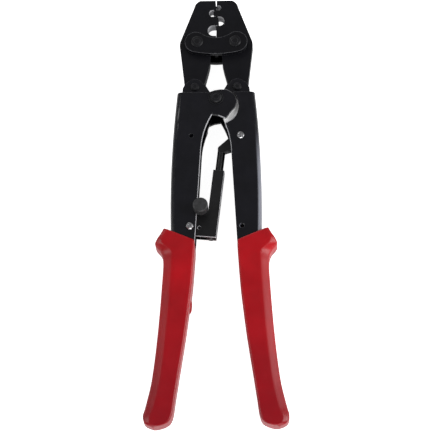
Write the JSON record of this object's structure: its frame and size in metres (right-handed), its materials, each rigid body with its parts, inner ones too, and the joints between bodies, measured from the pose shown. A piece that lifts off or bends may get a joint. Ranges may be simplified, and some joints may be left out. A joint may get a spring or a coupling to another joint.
{
  "type": "ratchet cable lug crimping tool",
  "caption": "Long-handled ratchet crimping tool: two staggered-nest jaws on link plates, closed by two channel handles with sleeved grips.",
  "frame": {"origin": "on the axis of the central pivot, on the plane that the tool rests on (rear face of the pivot nut and backs of the grips)", "axes": "+X towards the right-hand handle, +Y towards the jaws, +Z away from the resting plane"},
  "size_m": [0.122, 0.391, 0.0362],
  "materials": {
    "black_sheet": "gloss",
    "red_grip": "satin",
    "black_jaw": "satin",
    "black_plate": "satin",
    "black_pin": "satin",
    "black_rod": "satin",
    "bright_rivet": "satin",
    "black_housing": "satin",
    "spring_steel": "satin",
    "black_knob": "satin"
  },
  "bodies": {
    "left_handle": {"left_handle": "black_sheet", "left_grip": "red_grip", "left_tail_pin": "black_pin", "pivot_bolt": "black_pin", "pivot_nut": "black_pin", "pivot_sleeve": "black_pin", "pivot_washer": "black_pin", "housing_rivet": "bright_rivet", "housing_spacers": "bright_rivet"},
    "right_handle": {"right_handle": "black_sheet", "right_grip": "red_grip", "right_tail_pin": "black_pin", "rod_rivet": "bright_rivet", "rod_spacers": "bright_rivet"},
    "left_jaw": {"left_jaw": "black_jaw"},
    "right_jaw": {"right_jaw": "black_jaw"},
    "links": {"front_link_plate": "black_plate", "rear_link_plate": "black_plate", "left_jaw_pin": "black_pin", "right_jaw_pin": "black_pin", "link_spacer": "black_plate"},
    "housing": {"ratchet_housing": "black_housing", "pawl_pin": "black_pin", "pawl_spring": "spring_steel"},
    "rod": {"ratchet_rod": "black_rod"},
    "pawl": {"ratchet_pawl": "black_pin", "release_knob": "black_knob", "knob_screw": "bright_rivet"}
  },
  "joints": [
    {"name": "handle_open", "type": "hinge", "parent": "left_handle", "child": "right_handle", "pos_m": [0, 0, 0.014], "axis": [0, 0, 1], "range_deg": [-2.4, 44]},
    {"name": "left_jaw_swing", "type": "hinge", "parent": "left_handle", "child": "left_jaw", "pos_m": [-0.0185, 0.0116, 0.014], "axis": [0, 0, 1], "range_deg": [-1.62, 29.35]},
    {"name": "right_jaw_swing", "type": "hinge", "parent": "right_handle", "child": "right_jaw", "pos_m": [0.0185, 0.0116, 0.014], "axis": [0, 0, 1], "range_deg": [-29.35, 1.62]},
    {"name": "link_swing", "type": "hinge", "parent": "left_jaw", "child": "links", "pos_m": [-0.0167, 0.0546, 0.014], "axis": [0, 0, 1], "range_deg": [-7.35, 0.42]},
    {"name": "housing_swing", "type": "hinge", "parent": "left_handle", "child": "housing", "pos_m": [-0.0224, -0.1185, 0.014], "axis": [0, 0, 1], "range_deg": [-8.82, 0.5]},
    {"name": "rod_slide", "type": "slide", "parent": "housing", "child": "rod", "axis": [0.1167, 0.9932, 0], "range_m": [-0.00184, 0.03207]},
    {"name": "pawl_release", "type": "hinge", "parent": "housing", "child": "pawl", "pos_m": [-0.01452, -0.11767, 0.014], "axis": [0, 0, 1], "range_deg": [0, 4], "stiffness_Nm_per_rad": 0.02, "springref_deg": -5.73, "deforming": ["pawl_spring"]}
  ],
  "couplings": [
    {"joint": "left_jaw_swing", "follows": "handle_open", "ratio": 0.6665},
    {"joint": "right_jaw_swing", "follows": "handle_open", "ratio": -0.6665},
    {"joint": "link_swing", "follows": "handle_open", "ratio": -0.1665},
    {"joint": "housing_swing", "follows": "handle_open", "ratio": -0.2},
    {"joint": "rod_slide", "follows": "handle_open", "m_per_rad": 0.041625}
  ]
}
